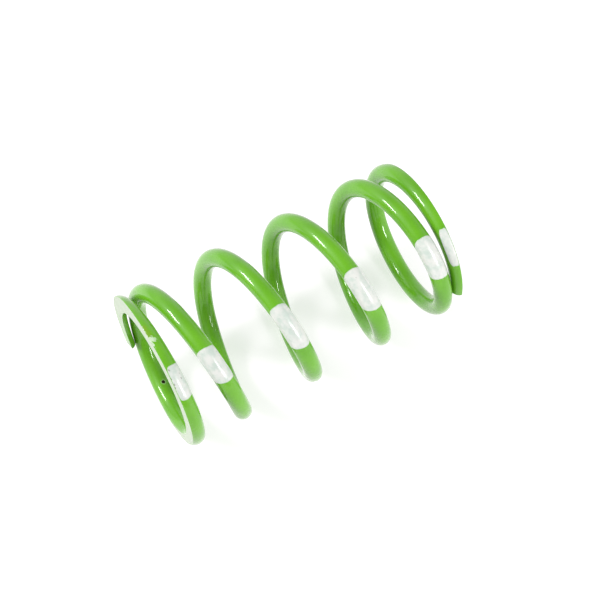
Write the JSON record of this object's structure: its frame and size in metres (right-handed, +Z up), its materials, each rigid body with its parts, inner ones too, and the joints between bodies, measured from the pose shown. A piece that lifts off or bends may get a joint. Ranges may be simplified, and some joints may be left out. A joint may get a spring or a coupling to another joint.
{
  "type": "coil spring",
  "caption": "Closed and ground helical compression spring of round wire, coated, with a line of paint marks; its coils close up along the axis.",
  "frame": {"origin": "on the spring's axis, in the plane of the first ground end", "axes": "+X along the axis from the first ground end to the last; +Z up, with the spring lying on its side; right-handed winding about +X"},
  "size_m": [0.1524, 0.0822, 0.0822],
  "materials": {
    "green_coat": "gloss",
    "white_paint": "satin"
  },
  "bodies": {
    "first_end": {"first_end_coil": "green_coat", "paint_mark_1": "white_paint"},
    "coil_2_upper_front": {"coil_2_upper_front": "green_coat", "paint_mark_2": "white_paint"},
    "coil_2_lower_front": {"coil_2_lower_front": "green_coat"},
    "coil_2_lower_back": {"coil_2_lower_back": "green_coat"},
    "coil_3_upper_back": {"coil_3_upper_back": "green_coat"},
    "coil_3_upper_front": {"coil_3_upper_front": "green_coat", "paint_mark_3": "white_paint"},
    "coil_3_lower_front": {"coil_3_lower_front": "green_coat"},
    "coil_3_lower_back": {"coil_3_lower_back": "green_coat"},
    "coil_4_upper_back": {"coil_4_upper_back": "green_coat"},
    "coil_4_upper_front": {"coil_4_upper_front": "green_coat", "paint_mark_4": "white_paint"},
    "coil_4_lower_front": {"coil_4_lower_front": "green_coat"},
    "coil_4_lower_back": {"coil_4_lower_back": "green_coat"},
    "coil_5_upper_back": {"coil_5_upper_back": "green_coat"},
    "last_end": {"last_end_coil": "green_coat", "paint_mark_5": "white_paint", "paint_mark_6": "white_paint"}
  },
  "joints": [
    {"name": "compression", "type": "slide", "parent": "first_end", "child": "last_end", "axis": [-1, 0, 0], "range_m": [0, 0.052], "stiffness_N_per_m": 55000},
    {"name": "coil_2_upper_front_travel", "type": "slide", "parent": "first_end", "child": "coil_2_upper_front", "axis": [-1, 0, 0], "range_m": [0, 0.00585]},
    {"name": "coil_2_lower_front_travel", "type": "slide", "parent": "first_end", "child": "coil_2_lower_front", "axis": [-1, 0, 0], "range_m": [0, 0.0096]},
    {"name": "coil_2_lower_back_travel", "type": "slide", "parent": "first_end", "child": "coil_2_lower_back", "axis": [-1, 0, 0], "range_m": [0, 0.01336]},
    {"name": "coil_3_upper_back_travel", "type": "slide", "parent": "first_end", "child": "coil_3_upper_back", "axis": [-1, 0, 0], "range_m": [0, 0.01713]},
    {"name": "coil_3_upper_front_travel", "type": "slide", "parent": "first_end", "child": "coil_3_upper_front", "axis": [-1, 0, 0], "range_m": [0, 0.02089]},
    {"name": "coil_3_lower_front_travel", "type": "slide", "parent": "first_end", "child": "coil_3_lower_front", "axis": [-1, 0, 0], "range_m": [0, 0.02465]},
    {"name": "coil_3_lower_back_travel", "type": "slide", "parent": "first_end", "child": "coil_3_lower_back", "axis": [-1, 0, 0], "range_m": [0, 0.02841]},
    {"name": "coil_4_upper_back_travel", "type": "slide", "parent": "first_end", "child": "coil_4_upper_back", "axis": [-1, 0, 0], "range_m": [0, 0.03217]},
    {"name": "coil_4_upper_front_travel", "type": "slide", "parent": "first_end", "child": "coil_4_upper_front", "axis": [-1, 0, 0], "range_m": [0, 0.03594]},
    {"name": "coil_4_lower_front_travel", "type": "slide", "parent": "first_end", "child": "coil_4_lower_front", "axis": [-1, 0, 0], "range_m": [0, 0.0397]},
    {"name": "coil_4_lower_back_travel", "type": "slide", "parent": "first_end", "child": "coil_4_lower_back", "axis": [-1, 0, 0], "range_m": [0, 0.04346]},
    {"name": "coil_5_upper_back_travel", "type": "slide", "parent": "first_end", "child": "coil_5_upper_back", "axis": [-1, 0, 0], "range_m": [0, 0.04722]}
  ],
  "couplings": [
    {"joint": "coil_2_upper_front_travel", "follows": "compression", "ratio": 0.1086},
    {"joint": "coil_2_lower_front_travel", "follows": "compression", "ratio": 0.1808},
    {"joint": "coil_2_lower_back_travel", "follows": "compression", "ratio": 0.2531},
    {"joint": "coil_3_upper_back_travel", "follows": "compression", "ratio": 0.3255},
    {"joint": "coil_3_upper_front_travel", "follows": "compression", "ratio": 0.3978},
    {"joint": "coil_3_lower_front_travel", "follows": "compression", "ratio": 0.4702},
    {"joint": "coil_3_lower_back_travel", "follows": "compression", "ratio": 0.5425},
    {"joint": "coil_4_upper_back_travel", "follows": "compression", "ratio": 0.6149},
    {"joint": "coil_4_upper_front_travel", "follows": "compression", "ratio": 0.6873},
    {"joint": "coil_4_lower_front_travel", "follows": "compression", "ratio": 0.7596},
    {"joint": "coil_4_lower_back_travel", "follows": "compression", "ratio": 0.832},
    {"joint": "coil_5_upper_back_travel", "follows": "compression", "ratio": 0.9042}
  ]
}
